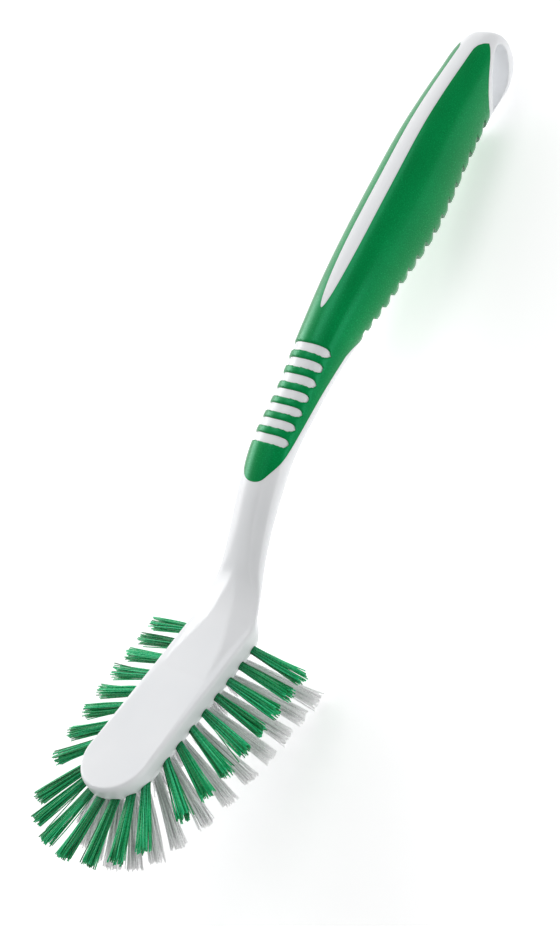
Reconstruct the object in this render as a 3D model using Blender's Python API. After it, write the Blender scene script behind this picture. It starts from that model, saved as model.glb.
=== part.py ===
# A kitchen brush: one white moulding that is head, neck, handle spine and hang loop, a soft
# green grip moulded over the spine, and three rows of bristle tufts, each held by a flat wire anchor.
# Lengths are in metres. The brush is drawn in the frame of its head: X runs from the front
# of the head to the end of the handle, Y lies across, and Z leaves the flat top face.
# A last step turns it all to lie at rest on Z = 0, on its tuft tips and its handle end.

import math
import random
from collections import namedtuple

import bmesh
import bpy
import numpy as np
from mathutils import Matrix, Vector

MM = 0.001
GAP = 0.3 * MM  # clearance between any two pieces

# Head block
HEAD_HALF_WIDTH = 11.85 * MM
HEAD_DEPTH = 9.4 * MM
RIM_IN = 0.95 * MM  # the rounding between the top's edge and the side wall
RIM_DOWN = 1.2 * MM
RIM_SHARES = ((0.32, 0.2), (0.76, 0.5), (1.0, 1.0))
WALL_DEPTH = 4.3 * MM  # upright side wall
OUTER_BEVEL_IN = 1.45 * MM  # the bevel that carries the outer tufts
OUTER_BEVEL_DOWN = 2.7 * MM
INNER_BEVEL_IN = 3.75 * MM  # the flatter bevel that carries the second row
TOP_SHARES = (0.45, 0.92)  # the last is the edge of the top
BOTTOM_SHARES = (0.34, 0.17)
FRONT_STEPS = 10

# Handle. Each station is one cross-section. The depth is measured square to the top line and
# lean is that line's angle in degrees. The box share is 1 for the head's section and 0 for a
# plain oval, and the power is the oval's: 2 is round and more is squarer. The crown is how far
# the rim of the head's section lies below the middle of its top, and the taper is how much
# narrower the section is at its foot than at that rim.
Station = namedtuple("Station", "x top depth half_width lean box_share power crown taper")
# Where the head turns into the neck, depths and half widths are shares of the head's own.
SHOULDER = tuple(
    Station(
        x * MM,
        top * MM,
        depth_share * HEAD_DEPTH,
        width_share * HEAD_HALF_WIDTH,
        lean,
        box_share,
        2.2,
        crown * MM,
        taper,
    )
    for x, top, crown, depth_share, width_share, lean, box_share, taper in (
        (42.0, 0.0, 0.0, 1.0, 1.0, 0.0, 1.0, 0.0),
        (50.0, 0.7, 0.6, 1.075, 1.0, 0.0, 1.0, 0.0),
        (57.5, 1.9, 1.7, 1.202, 1.0, 0.0, 1.0, 0.0),
        (62.0, 2.95, 2.5, 1.26, 1.0, 4.0, 1.0, 0.03),
        (66.5, 4.55, 2.5, 0.99, 0.935, 12.0, 0.95, 0.45),
        (71.5, 7.4, 2.0, 0.83, 0.775, 27.0, 0.6, 0.25),
    )
)
STATIONS = SHOULDER + tuple(
    Station(x * MM, top * MM, depth * MM, half_width * MM, lean, box_share, power, crown * MM, 0.0)
    for x, top, depth, half_width, lean, box_share, power, crown in (
        (76.5, 11.7, 7.3, 7.5, 38.0, 0.2, 2.2, 0.6),
        (84.0, 18.6, 8.3, 7.2, 42.0, 0.0, 2.2, 0.0),
        (93.0, 26.0, 9.7, 7.4, 36.0, 0.0, 2.2, 0.0),
        (104.0, 33.0, 10.7, 7.5, 24.0, 0.0, 2.2, 0.0),
        (120.0, 39.0, 12.3, 7.4, 21.0, 0.0, 2.2, 0.0),
        (136.0, 46.0, 15.7, 8.4, 22.0, 0.0, 2.2, 0.0),
        (158.0, 54.1, 21.8, 10.3, 19.0, 0.0, 2.2, 0.0),
        (186.0, 62.3, 25.8, 11.4, 15.0, 0.0, 2.2, 0.0),
        (212.0, 69.0, 23.9, 10.5, 11.0, 0.0, 2.2, 0.0),
        (230.0, 71.6, 21.4, 9.5, 5.0, 0.0, 2.35, 0.0),
        (241.0, 72.6, 20.9, 8.6, 0.0, 0.0, 2.8, 0.0),
        (247.0, 71.9, 17.7, 7.5, 0.0, 0.0, 3.0, 0.0),
        (250.0, 69.6, 12.6, 6.4, 0.0, 0.0, 3.0, 0.0),
        (251.3, 66.2, 5.6, 5.0, 0.0, 0.0, 2.8, 0.0),
    )
)
CROWN_POWER = 1.8
RING_PITCH = 6.0 * MM
SPINE_PITCH = 9.0 * MM
OVAL_ANGLES = (90, 74, 59, 44, 30, 16, 0, -16, -32, -47, -61, -75, -90)

# Hang hole, side to side through the end of the handle
HOLE_POINTS = tuple(
    (x * MM, z * MM)
    for x, z in (
        (246.7, 66.6),
        (245.9, 63.2),
        (243.6, 59.4),
        (240.2, 56.3),
        (236.0, 54.5),
        (231.6, 54.3),
        (231.7, 58.0),
        (233.6, 62.0),
        (237.0, 65.8),
        (241.4, 68.6),
        (245.2, 69.0),
    )
)
HOLE_STEPS = 2
HOLE_REACH_SHARE = 1.2  # of the head's half width, to cut right through
HOLE_REACH = HOLE_REACH_SHARE * HEAD_HALF_WIDTH

# Grip
SHELL = 2.0 * MM  # depth of the pocket that the grip fills
NOSE_X = 84.0 * MM
SPINE_X = 76.0 * MM
GRIP_START_X = 72.0 * MM
SEAM_RISE_SHARE = 0.227  # the lower edge of the grip climbs this much for each unit along X
SEAM_X = 96.0 * MM
SEAM_Z = 27.0 * MM
SEAM_TURN = tuple(
    (x * MM, z * MM) for x, z in ((138.0, 36.5), (143.0, 36.0), (147.5, 33.6), (151.0, 28.0))
)
FAR_BELOW = 18.0 * MM
FAR_ABOVE = 95.0 * MM
REAR_EDGE = tuple(
    (x * MM, z * MM)
    for x, z in (
        (228.4, 40.0),
        (228.5, 55.6),
        (229.4, 59.4),
        (231.3, 62.6),
        (234.4, 65.8),
        (238.2, 68.6),
        (243.4, 71.8),
    )
)
GRIP_REACH = 16.0 * MM

# White window along the top of the grip
WINDOW_TIP_X = 144.0 * MM
WINDOW_FULL_X = 172.0 * MM
WINDOW_HALF = 2.75 * MM
WINDOW_FLARE_X = 238.0 * MM
WINDOW_FLARE_END_X = 243.2 * MM
WINDOW_FLARE_HALF = 6.6 * MM
WINDOW_STEPS = 8
WINDOW_RISE = 8.0 * MM
WINDOW_DEPTH_SHARE = 0.46
WINDOW_END_X = 262.0 * MM

# Thumb slots
SLOT_COUNT = 7
SLOT_FIRST_X = 132.4 * MM
SLOT_PITCH = 4.55 * MM
SLOT_WIDTH = 2.7 * MM
SLOT_HALF_SHARE = 0.89  # of the half width of the grip
SLOT_RECESS = 0.5 * MM
SLOT_CORNER_STEPS = 4
SLOT_DEPTH_SHARE = 0.5
SLOT_RISE = 4.0 * MM

# Finger grooves round the underside. Each runs round the section from flank to flank. Its front
# side ramps up to the next groove and its root lies behind its mouth, so that the ridges left
# between the grooves are scales that hook forward.
GROOVE_COUNT = 16
GROOVE_FIRST_X = 146.1 * MM
GROOVE_PITCH = 4.55 * MM
GROOVE_PITCH_GROWTH = 0.05 * MM
GROOVE_PROFILE = tuple(  # along the handle from the ridge's tip, and down into the surface
    (along * MM, down * MM)
    for along, down in ((0.0, -0.6), (0.0, 0.0), (0.9, 1.1), (-0.4, 0.55), (-3.4, -0.1), (-3.4, -0.6))
)
GROOVE_SWEEP_SHARE = 0.42  # how far a groove runs forward for its climb up the flank
GROOVE_POINTS = range(7, 18, 2)  # the ring points that a groove runs through

# Tufts and their holes
PLUG_RADIUS = 1.05 * MM
PLUG_DEPTH = 3.3 * MM
ANCHOR_REACH = 0.45 * MM
ANCHOR_HEIGHT = 0.8 * MM
PLUG_SIDES = 8
MOUTH_RUN = 3.0 * MM
STRAND_SHARE = 0.74  # size of a strand within its cell of the plug
SPREADS = (3.1, 1.7)  # how far alternate strands fan out
LENGTH_SPREAD_SHARE = 0.035

STRAIGHT_COUNT = 8
TUFT_PITCH = 5.9 * MM
REAR_TUFT_X = 59.2 * MM
FRONT_COUNT = 3

# A row runs round the head a little in from its edge. Its tufts lean forward more and more, from
# the first lean at the rear to straight ahead at the front. Each pair of values is one at the rear
# and one at the front, and leans and drops are in degrees.
Row = namedtuple("Row", "in_from_edge down lengths drops first_lean power front_step offset")
OUTER_ROW = Row(0.75 * MM, 5.7 * MM, (19.4 * MM, 19.4 * MM), (8.0, 8.0), 5.0, 2.15, 25.0, 0.0)
SECOND_ROW = Row(4.6 * MM, 8.9 * MM, (25.0 * MM, 20.5 * MM), (36.0, 42.0), -10.0, 2.1, 31.0, 0.5)
CENTRE_COUNT = 6
CENTRE_FIRST_X = 11.0 * MM
CENTRE_PITCH = 8.4 * MM
CENTRE_LENGTH = 14.6 * MM
CENTRE_FIRST_LEAN = 14.0
CENTRE_LAST_LEAN = -6.0


def clear_scene():
    for obj in list(bpy.data.objects):
        bpy.data.objects.remove(obj, do_unlink=True)


def plastic(name, color, roughness, transmission=0.0):
    material = bpy.data.materials.new(name)
    material.use_nodes = True
    shader = material.node_tree.nodes["Principled BSDF"]
    shader.inputs["Base Color"].default_value = (*color, 1.0)
    shader.inputs["Roughness"].default_value = roughness
    shader.inputs["Transmission Weight"].default_value = transmission
    return material


def add_object(name, bm, material=None, smooth=False):
    bmesh.ops.recalc_face_normals(bm, faces=bm.faces[:])
    mesh = bpy.data.meshes.new(name)
    bm.to_mesh(mesh)
    bm.free()
    if smooth:
        mesh.shade_smooth()
        mesh.set_sharp_from_angle(angle=math.radians(35))
    obj = bpy.data.objects.new(name, mesh)
    bpy.context.scene.collection.objects.link(obj)
    if material:
        mesh.materials.append(material)
    else:
        obj.hide_render = True
        obj.display_type = "WIRE"
    return obj


def boolean(obj, other, operation, solver="EXACT"):
    modifier = obj.modifiers.new(other.name, "BOOLEAN")
    modifier.object = other
    modifier.operation = operation
    modifier.solver = solver


# The handle's surface


def monotone_slopes(knots, values):
    """Slopes of a curve through the values that never swings past any of them."""
    runs = np.diff(knots)
    rises = np.diff(values) / runs
    slopes = np.zeros(len(values))
    slopes[0], slopes[-1] = rises[0], rises[-1]
    for i in range(1, len(values) - 1):
        if rises[i - 1] * rises[i] > 0:
            before = 2 * runs[i] + runs[i - 1]
            after = runs[i] + 2 * runs[i - 1]
            slopes[i] = (before + after) / (before / rises[i - 1] + after / rises[i])
    return slopes


def between(knots, values, slopes, at):
    i = int(np.clip(np.searchsorted(knots, at) - 1, 0, len(knots) - 2))
    run = knots[i + 1] - knots[i]
    t = (at - knots[i]) / run
    start = (1 + 2 * t) * (1 - t) ** 2 * values[i] + t * (1 - t) ** 2 * run * slopes[i]
    end = t * t * (3 - 2 * t) * values[i + 1] + t * t * (t - 1) * run * slopes[i + 1]
    return start + end


TABLE = np.array(STATIONS)
KNOTS = np.concatenate([[0], np.cumsum(np.hypot(np.diff(TABLE[:, 0]), np.diff(TABLE[:, 1])))])
SLOPES = [monotone_slopes(KNOTS, TABLE[:, column]) for column in range(TABLE.shape[1])]


def station_at(along):
    """The cross-section at a distance along the handle's top line."""
    return Station(
        *(
            between(KNOTS, TABLE[:, column], SLOPES[column], along)
            for column in range(TABLE.shape[1])
        )
    )


def station_at_x(x):
    low, high = KNOTS[0], KNOTS[-1]
    while high - low > GAP / 100:
        middle = (low + high) / 2
        if station_at(middle).x < x:
            low = middle
        else:
            high = middle
    return station_at(high)


def head_profile(half_width, depth, crown):
    """Half of the head's section, from the middle of the top round to the middle of the underside."""
    scale = (depth - crown) / HEAD_DEPTH
    flats = [share * half_width for share in (0, *TOP_SHARES)]
    rim = [
        (half_width - (1 - share) * RIM_IN, share_down * RIM_DOWN) for share, share_down in RIM_SHARES
    ]
    rim.append((half_width, WALL_DEPTH))
    outer = (half_width - OUTER_BEVEL_IN, WALL_DEPTH + OUTER_BEVEL_DOWN)
    inner = (outer[0] - INNER_BEVEL_IN, HEAD_DEPTH)
    middle = ((outer[0] + inner[0]) / 2, (outer[1] + inner[1]) / 2)
    base = [(share * half_width, HEAD_DEPTH) for share in (*BOTTOM_SHARES, 0)]
    points = [(y, -crown * (y / flats[-1]) ** CROWN_POWER) for y in flats]
    return points + [(y, -crown - z * scale) for y, z in (*rim, outer, middle, inner, *base)]


def oval_profile(half_width, depth, power):
    points = []
    for angle in OVAL_ANGLES:
        across, up = math.cos(math.radians(angle)), math.sin(math.radians(angle))
        y = half_width * abs(across) ** (2 / power)
        z = depth / 2 * math.copysign(abs(up) ** (2 / power), up)
        points.append((y, z - depth / 2))
    points[0] = (0, points[0][1])
    points[-1] = (0, points[-1][1])
    return points


def ring_at(station, inset=0.0):
    """The closed section at a station, drawn in by the inset all round."""
    half_width = station.half_width - inset
    depth = station.depth - 2 * inset
    oval = oval_profile(half_width, depth, station.power)
    box = head_profile(half_width, depth, station.crown) if station.box_share > 0 else oval
    lean = math.radians(station.lean)
    up = Vector((-math.sin(lean), 0, math.cos(lean)))
    top = Vector((station.x, 0, station.top)) - up * inset
    half = []
    for (oval_y, oval_z), (box_y, box_z) in zip(oval, box):
        y = oval_y + (box_y - oval_y) * station.box_share
        z = oval_z + (box_z - oval_z) * station.box_share
        y *= 1 - station.taper * max(0, -z - station.crown) / (depth - station.crown)
        half.append((top + up * z, y))
    ring = [point + Vector((0, y, 0)) for point, y in half]
    ring += [point - Vector((0, y, 0)) for point, y in reversed(half[1:-1])]
    return ring


def handle_rings(first_x, last_x, inset=0.0, pitch=RING_PITCH):
    """Sections from one X to another, close together where the handle bends."""
    places = []
    for start, end in zip(KNOTS[:-1], KNOTS[1:]):
        steps = max(1, round((end - start) / pitch))
        places += [start + (end - start) * step / steps for step in range(steps)]
    stations = [station_at(place) for place in (*places, KNOTS[-1])]
    return [ring_at(station, inset) for station in stations if first_x <= station.x <= last_x]


def skin(bm, rows):
    """Faces between each row of vertices and the next."""
    for row, following in zip(rows[:-1], rows[1:]):
        for i in range(len(row)):
            j = (i + 1) % len(row)
            bm.faces.new((row[i], row[j], following[j], following[i]))


def blank(first_x, last_x, inset=0.0, pitch=RING_PITCH):
    """A length of the handle as one solid, drawn in by the inset."""
    bm = bmesh.new()
    rings = handle_rings(first_x, last_x, inset, pitch)
    rows = [[bm.verts.new(point) for point in ring] for ring in rings]
    skin(bm, rows)
    bm.faces.new(rows[0])
    bm.faces.new(rows[-1])
    return bm


def moulding_blank():
    """Head, neck and handle as one solid, before anything is cut."""
    bm = bmesh.new()
    radius = HEAD_HALF_WIDTH
    front = STATIONS[0]._replace(x=radius)
    rings = [ring_at(front)] + handle_rings(STATIONS[0].x, STATIONS[-1].x)
    rows = [[bm.verts.new(point) for point in ring] for ring in rings]
    skin(bm, rows)
    bm.faces.new(rows[-1])

    # The round front is half of the head's section turned about an upright axis.
    count = len(rows[0])
    last = count // 2
    right = rows[0][1:last]
    left = [rows[0][count - i] for i in range(1, last)]
    columns = [right]
    for step in range(1, FRONT_STEPS):
        angle = math.pi * step / FRONT_STEPS
        columns.append(
            [
                bm.verts.new((radius - math.sin(angle) * v.co.y, math.cos(angle) * v.co.y, v.co.z))
                for v in right
            ]
        )
    columns.append(left)
    for column, following in zip(columns[:-1], columns[1:]):
        bm.faces.new((rows[0][0], column[0], following[0]))
        bm.faces.new((rows[0][last], following[-1], column[-1]))
        for i in range(len(column) - 1):
            bm.faces.new((column[i], column[i + 1], following[i + 1], following[i]))
    return bm


# Cutters


def prism(bm, outline, shift):
    """A straight prism between an outline and its copy moved by the shift."""
    start = [bm.verts.new(point) for point in outline]
    end = [bm.verts.new(Vector(point) + Vector(shift)) for point in outline]
    skin(bm, [start, end])
    bm.faces.new(start)
    bm.faces.new(end)


def side_prism(bm, outline, reach):
    """An outline in X and Z, carried across the handle."""
    prism(bm, [(x, -reach, z) for x, z in outline], (0, 2 * reach, 0))


def grown(outline, by):
    """The outline, which runs anticlockwise, with every side moved out."""
    points = np.array(outline)
    sides = np.roll(points, -1, axis=0) - points
    normals = np.stack([sides[:, 1], -sides[:, 0]], axis=1)
    normals /= np.linalg.norm(normals, axis=1)[:, None]
    before = np.roll(normals, 1, axis=0)
    mitre = (normals + before) / (1 + (normals * before).sum(axis=1))[:, None]
    return [tuple(point) for point in points + by * mitre]


def seam_height(x):
    return SEAM_Z + (x - SEAM_X) * SEAM_RISE_SHARE


def grip_outline():
    """The side view of the space that the grip may fill."""
    return [
        (NOSE_X, seam_height(NOSE_X)),
        *SEAM_TURN,
        (SEAM_TURN[-1][0], FAR_BELOW),
        (REAR_EDGE[0][0], FAR_BELOW),
        *REAR_EDGE,
        (REAR_EDGE[-1][0], FAR_ABOVE),
        (NOSE_X, FAR_ABOVE),
    ]


def window_half(x):
    if x < WINDOW_FULL_X:
        share = (WINDOW_FULL_X - x) / (WINDOW_FULL_X - WINDOW_TIP_X)
        return WINDOW_HALF * math.sqrt(max(0, 1 - share * share))
    if x < WINDOW_FLARE_X:
        return WINDOW_HALF
    share = min(1, (x - WINDOW_FLARE_X) / (WINDOW_FLARE_END_X - WINDOW_FLARE_X))
    return WINDOW_HALF + (WINDOW_FLARE_HALF - WINDOW_HALF) * share**2


def window_cutter(name, margin):
    """The window's plan, from above the handle down to its middle."""
    tip = [
        WINDOW_FULL_X - (WINDOW_FULL_X - WINDOW_TIP_X) * math.cos(math.pi / 2 * step / WINDOW_STEPS)
        for step in range(WINDOW_STEPS + 1)
    ]
    run = (WINDOW_FLARE_X - WINDOW_FULL_X) / WINDOW_STEPS
    sides = [WINDOW_FULL_X + run * step for step in range(1, WINDOW_STEPS + 1)]
    run = (WINDOW_FLARE_END_X - WINDOW_FLARE_X) / WINDOW_STEPS
    flare = [WINDOW_FLARE_X + run * step for step in range(1, WINDOW_STEPS + 1)]
    bm = bmesh.new()
    rows = []
    for x in (*tip, *sides, *flare, WINDOW_END_X):
        station = station_at_x(min(x, WINDOW_FLARE_END_X))
        half = max(window_half(x) + margin, GAP / 2)
        start = x - margin if x == WINDOW_TIP_X else x
        high = station.top + WINDOW_RISE
        low = station.top - WINDOW_DEPTH_SHARE * station.depth
        corners = ((-half, low), (half, low), (half, high), (-half, high))
        rows.append([bm.verts.new((start, y, z)) for y, z in corners])
    skin(bm, rows)
    bm.faces.new(rows[0])
    bm.faces.new(rows[-1])
    return add_object(name, bm)


def slot_cutter(name, margin):
    """Seven round-ended slots, cut straight down over the top of the grip."""
    bm = bmesh.new()
    radius = SLOT_WIDTH / 2 + margin
    for number in range(SLOT_COUNT):
        x = SLOT_FIRST_X - number * SLOT_PITCH
        station = station_at_x(x)
        reach = SLOT_HALF_SHARE * station.half_width - SLOT_WIDTH / 2
        low = station.top - SLOT_DEPTH_SHARE * station.depth
        high = station.top + SLOT_RISE
        outline = []
        for side in (1, -1):
            for step in range(SLOT_CORNER_STEPS + 1):
                angle = math.pi * step / SLOT_CORNER_STEPS
                across = side * (reach + radius * math.sin(angle))
                outline.append((x + side * radius * math.cos(angle), across, low))
        prism(bm, outline, (0, 0, high - low))
    return add_object(name, bm)


def groove_cutter(name):
    """Hooked grooves swept round the underside, each ending part of the way up both flanks."""
    bm = bmesh.new()
    lowest = len(OVAL_ANGLES) - 1
    for number in range(GROOVE_COUNT):
        foot_x = GROOVE_FIRST_X + number * GROOVE_PITCH + number**2 * GROOVE_PITCH_GROWTH
        middle = ring_at(station_at_x(foot_x))
        rows = []
        for index in GROOVE_POINTS:
            start = foot_x - GROOVE_SWEEP_SHARE * (middle[index].z - middle[lowest].z)
            row = []
            for along, inset in GROOVE_PROFILE:
                ring = ring_at(station_at_x(start + along), inset)
                row.append(bm.verts.new(ring[index]))
            rows.append(row)
        skin(bm, rows)
        bm.faces.new(rows[0])
        bm.faces.new(rows[-1])
    return add_object(name, bm)


def closed_curve(points, steps):
    """A smooth closed curve through the points."""
    count = len(points)
    curve = []
    for i in range(count):
        a, b, c, d = (np.array(points[(i + k) % count]) for k in (-1, 0, 1, 2))
        for step in range(steps):
            t = step / steps
            bend = (2 * a - 5 * b + 4 * c - d) * t * t + (3 * b - a - 3 * c + d) * t**3
            curve.append(tuple((2 * b + (c - a) * t + bend) / 2))
    return curve


def hang_hole_cutter():
    bm = bmesh.new()
    side_prism(bm, closed_curve(HOLE_POINTS, HOLE_STEPS), HOLE_REACH)
    return add_object("hang_hole_cutter", bm)


# Tufts


def plug(bm, radius, depth, reach, height, top, frame):
    """An eight-sided plug with the two ends of its anchor wire standing out at its foot.
    It returns the vertices of its open top."""
    apothem_share = math.cos(math.pi / PLUG_SIDES)
    rows = []
    for z in (-depth, -depth + height, top):
        row = []
        for side in range(PLUG_SIDES):
            angle = 2 * math.pi * (side - 0.5) / PLUG_SIDES
            corner = radius / apothem_share
            row.append(bm.verts.new((corner * math.cos(angle), corner * math.sin(angle), z)))
        rows.append(row)
    for row, following in zip(rows[:-1], rows[1:]):
        for i in range(PLUG_SIDES):
            j = (i + 1) % PLUG_SIDES
            corners = (row[i], row[j], following[j], following[i])
            if row is rows[0] and i in (0, PLUG_SIDES // 2):
                way = 1 if i == 0 else -1
                ends = [bm.verts.new(v.co + Vector((way * reach, 0, 0))) for v in corners]
                skin(bm, [list(corners), ends])
                bm.faces.new(ends)
            else:
                bm.faces.new(corners)
    bm.faces.new(rows[0])
    bmesh.ops.transform(bm, matrix=frame, verts=[v for row in rows for v in row])
    return rows[-1]


def tuft_mesh(length, number):
    """One tuft: the folded plug in its hole and eight strands that fan out of it."""
    chance = random.Random(number)
    bm = bmesh.new()
    rim = plug(bm, PLUG_RADIUS, PLUG_DEPTH, ANCHOR_REACH, ANCHOR_HEIGHT, 0.0, Matrix())
    middle = bm.verts.new((0, 0, 0))
    for i in range(PLUG_SIDES):
        cell = [middle, rim[i], rim[(i + 1) % PLUG_SIDES]]
        centre = (cell[0].co + cell[1].co + cell[2].co) / 3
        foot = [bm.verts.new(centre + (v.co - centre) * STRAND_SHARE) for v in cell]
        skin(bm, [cell, foot])
        spread = SPREADS[i % 2] - 1 + chance.uniform(-LENGTH_SPREAD_SHARE, LENGTH_SPREAD_SHARE)
        reach = length * (1 + chance.uniform(-LENGTH_SPREAD_SHARE, LENGTH_SPREAD_SHARE))
        shift = Vector((centre.x * spread, centre.y * spread, reach))
        tip = [bm.verts.new(v.co + shift) for v in foot]
        skin(bm, [foot, tip])
        bm.faces.new(tip)
    return bm


def tuft_frame(root, axis, along):
    """Z out along the tuft, and X up the head wall, the way its anchor lies."""
    z = axis.normalized()
    y = (along - z * along.dot(z)).normalized()
    x = y.cross(z)
    return Matrix((x, y, z)).transposed().to_4x4(), root


def row_places(row):
    """Each place of a row on one side: its share of the way to the front, and its root."""
    arc_radius = HEAD_HALF_WIDTH - row.in_from_edge
    straight = REAR_TUFT_X - HEAD_HALF_WIDTH
    total = straight + arc_radius * math.pi / 2
    places = []
    for number in range(STRAIGHT_COUNT):
        run = (number + row.offset) * TUFT_PITCH
        root = Vector((REAR_TUFT_X - run, arc_radius, -row.down))
        places.append((run / total, root, Vector((1, 0, 0))))
    for number in range(FRONT_COUNT):
        angle = math.radians((FRONT_COUNT - number - row.offset) * row.front_step)
        run = straight + arc_radius * (math.pi / 2 - angle)
        x = HEAD_HALF_WIDTH - arc_radius * math.cos(angle)
        root = Vector((x, arc_radius * math.sin(angle), -row.down))
        along = Vector((math.sin(angle), math.cos(angle), 0))
        places.append((run / total, root, along))
    return places


def side_tufts(row, word):
    tufts = []
    for number, (share, root, along) in enumerate(row_places(row), 1):
        lean = math.radians(row.first_lean + (90 - row.first_lean) * share**row.power)
        drop = math.radians(row.drops[0] + (row.drops[1] - row.drops[0]) * share)
        length = row.lengths[0] + (row.lengths[1] - row.lengths[0]) * share
        for side, side_word in ((1, "right"), (-1, "left")):
            flip = Vector((1, side, 1))
            axis = Vector(
                (-math.sin(lean) * math.cos(drop), math.cos(lean) * math.cos(drop), -math.sin(drop))
            )
            name = f"{word}_tuft_{side_word}_{number:02d}"
            tufts.append((name, root * flip, axis * flip, along * flip, length))
    return tufts


def all_tufts():
    tufts = side_tufts(OUTER_ROW, "outer")
    drop = math.radians(OUTER_ROW.drops[1])
    tufts.append(
        (
            "outer_tuft_front",
            Vector((OUTER_ROW.in_from_edge, 0, -OUTER_ROW.down)),
            Vector((-math.cos(drop), 0, -math.sin(drop))),
            Vector((0, 1, 0)),
            OUTER_ROW.lengths[1],
        )
    )
    outer = len(tufts)
    tufts += side_tufts(SECOND_ROW, "second")
    for number in range(CENTRE_COUNT):
        share = number / (CENTRE_COUNT - 1)
        lean = math.radians(CENTRE_FIRST_LEAN + (CENTRE_LAST_LEAN - CENTRE_FIRST_LEAN) * share)
        root = Vector((CENTRE_FIRST_X + number * CENTRE_PITCH, 0, -HEAD_DEPTH))
        axis = Vector((-math.sin(lean), 0, -math.cos(lean)))
        tufts.append((f"centre_tuft_{number + 1:02d}", root, axis, Vector((1, 0, 0)), CENTRE_LENGTH))
    return tufts, outer


def hole_cutter(tufts):
    bm = bmesh.new()
    for _, root, axis, along, _ in tufts:
        turn, place = tuft_frame(root, axis, along)
        start = len(bm.verts)
        rim = plug(
            bm,
            PLUG_RADIUS + GAP,
            PLUG_DEPTH + GAP,
            ANCHOR_REACH,
            ANCHOR_HEIGHT + 2 * GAP,
            MOUTH_RUN,
            Matrix(),
        )
        bm.faces.new(rim)
        bm.verts.ensure_lookup_table()
        bmesh.ops.transform(bm, matrix=Matrix.Translation(place) @ turn, verts=bm.verts[start:])
    return add_object("tuft_hole_cutter", bm)


# Rest pose


def lower_hull(points):
    """The lower side of the convex hull of points in X and Z, from left to right."""
    hull = []
    for point in sorted(points):
        while len(hull) > 1:
            (ax, az), (bx, bz) = hull[-2:]
            if (bx - ax) * (point[1] - az) - (bz - az) * (point[0] - ax) > 0:
                break
            hull.pop()
        hull.append(point)
    return hull


def middle_of_mass(rings):
    """Where the moulding balances along X, from the areas and gaps of its sections."""
    centres = [sum(ring, Vector()) / len(ring) for ring in rings]
    total, moment = 0.0, 0.0
    for (ring, centre), (_, following) in zip(list(zip(rings, centres))[:-1], list(zip(rings, centres))[1:]):
        across = max(p.y for p in ring)
        up = (ring[0] - ring[len(ring) // 2]).length
        weight = across * up * (following - centre).length
        total += weight
        moment += weight * (centre.x + following.x) / 2
    return moment / total


def settle(objects, balance):
    """Turns everything about Y so that the brush rests on Z = 0, centred over the origin."""
    bpy.context.view_layer.update()
    points = [obj.matrix_world @ v.co for obj in objects for v in obj.data.vertices]
    hull = lower_hull([(round(p.x, 7), round(p.z, 7)) for p in points])
    for (ax, az), (bx, bz) in zip(hull[:-1], hull[1:]):
        if ax <= balance <= bx:
            angle = math.atan2(bz - az, bx - ax)
    turn = Matrix.Rotation(angle, 4, "Y")
    turned = [turn @ p for p in points]
    lows = [min(p[axis] for p in turned) for axis in range(3)]
    highs = [max(p[axis] for p in turned) for axis in range(3)]
    rest = bpy.data.objects.new("rest_pose", None)
    bpy.context.scene.collection.objects.link(rest)
    rest.rotation_euler = (0, angle, 0)
    rest.location = (-(lows[0] + highs[0]) / 2, -(lows[1] + highs[1]) / 2, -lows[2])
    return rest


def main():
    clear_scene()
    white = plastic("white_polypropylene", (0.86, 0.87, 0.88), 0.25)
    green = plastic("green_soft_grip", (0.0, 0.23, 0.06), 0.42)
    green_nylon = plastic("green_bristle", (0.01, 0.22, 0.05), 0.35)
    clear_nylon = plastic("clear_bristle", (0.72, 0.75, 0.75), 0.3, 0.35)

    tufts, outer = all_tufts()

    # The grip: the handle's own surface, less the spine and every opening.
    grip = add_object("grip", blank(GRIP_START_X, WINDOW_END_X), green, smooth=True)
    bm = bmesh.new()
    side_prism(bm, grip_outline(), GRIP_REACH)
    space = add_object("grip_space", bm)
    window = window_cutter("grip_window", 0.0)
    slots = slot_cutter("grip_slots", 0.0)
    grooves = groove_cutter("grip_grooves")
    bore = add_object("grip_bore", blank(SPINE_X, WINDOW_END_X, SHELL - GAP, SPINE_PITCH))
    boolean(grip, space, "INTERSECT")
    boolean(grip, bore, "DIFFERENCE")
    boolean(grip, window, "DIFFERENCE", solver="MANIFOLD")  # the exact solver leaves nothing here
    for cutter in (slots, grooves):
        boolean(grip, cutter, "DIFFERENCE")

    # The moulding: the pocket leaves the spine, the window's land and the lands in the slots.
    bm = bmesh.new()
    side_prism(bm, grown(grip_outline(), GAP), GRIP_REACH)
    pocket = add_object("grip_pocket", bm)
    spine = add_object("spine", blank(SPINE_X, WINDOW_END_X, SHELL, SPINE_PITCH))
    window_land = window_cutter("window_land", -GAP)
    slot_lands = slot_cutter("slot_lands", -GAP)
    for cutter in (spine, window_land, slot_lands):
        boolean(pocket, cutter, "DIFFERENCE")
    recess = slot_cutter("slot_recess", 0.0)
    floor = add_object("recess_floor", blank(SPINE_X, WINDOW_END_X, SLOT_RECESS))
    boolean(recess, floor, "DIFFERENCE")

    moulding = add_object("handle_core", moulding_blank(), white, smooth=True)
    for cutter in (pocket, recess, hang_hole_cutter(), hole_cutter(tufts)):
        boolean(moulding, cutter, "DIFFERENCE")

    objects = [moulding, grip]
    for number, (name, root, axis, along, length) in enumerate(tufts):
        material = green_nylon if number < outer else clear_nylon
        obj = add_object(name, tuft_mesh(length, number), material)
        obj.hide_render = False
        obj.display_type = "TEXTURED"
        turn, place = tuft_frame(root, axis, along)
        obj.matrix_world = Matrix.Translation(place) @ turn
        objects.append(obj)

    rings = [ring_at(STATIONS[0]._replace(x=HEAD_HALF_WIDTH))]
    rings += handle_rings(STATIONS[0].x, STATIONS[-1].x)
    rest = settle(objects, middle_of_mass(rings))
    for obj in bpy.data.objects:
        if obj is not rest:
            obj.parent = rest


main()
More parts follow.
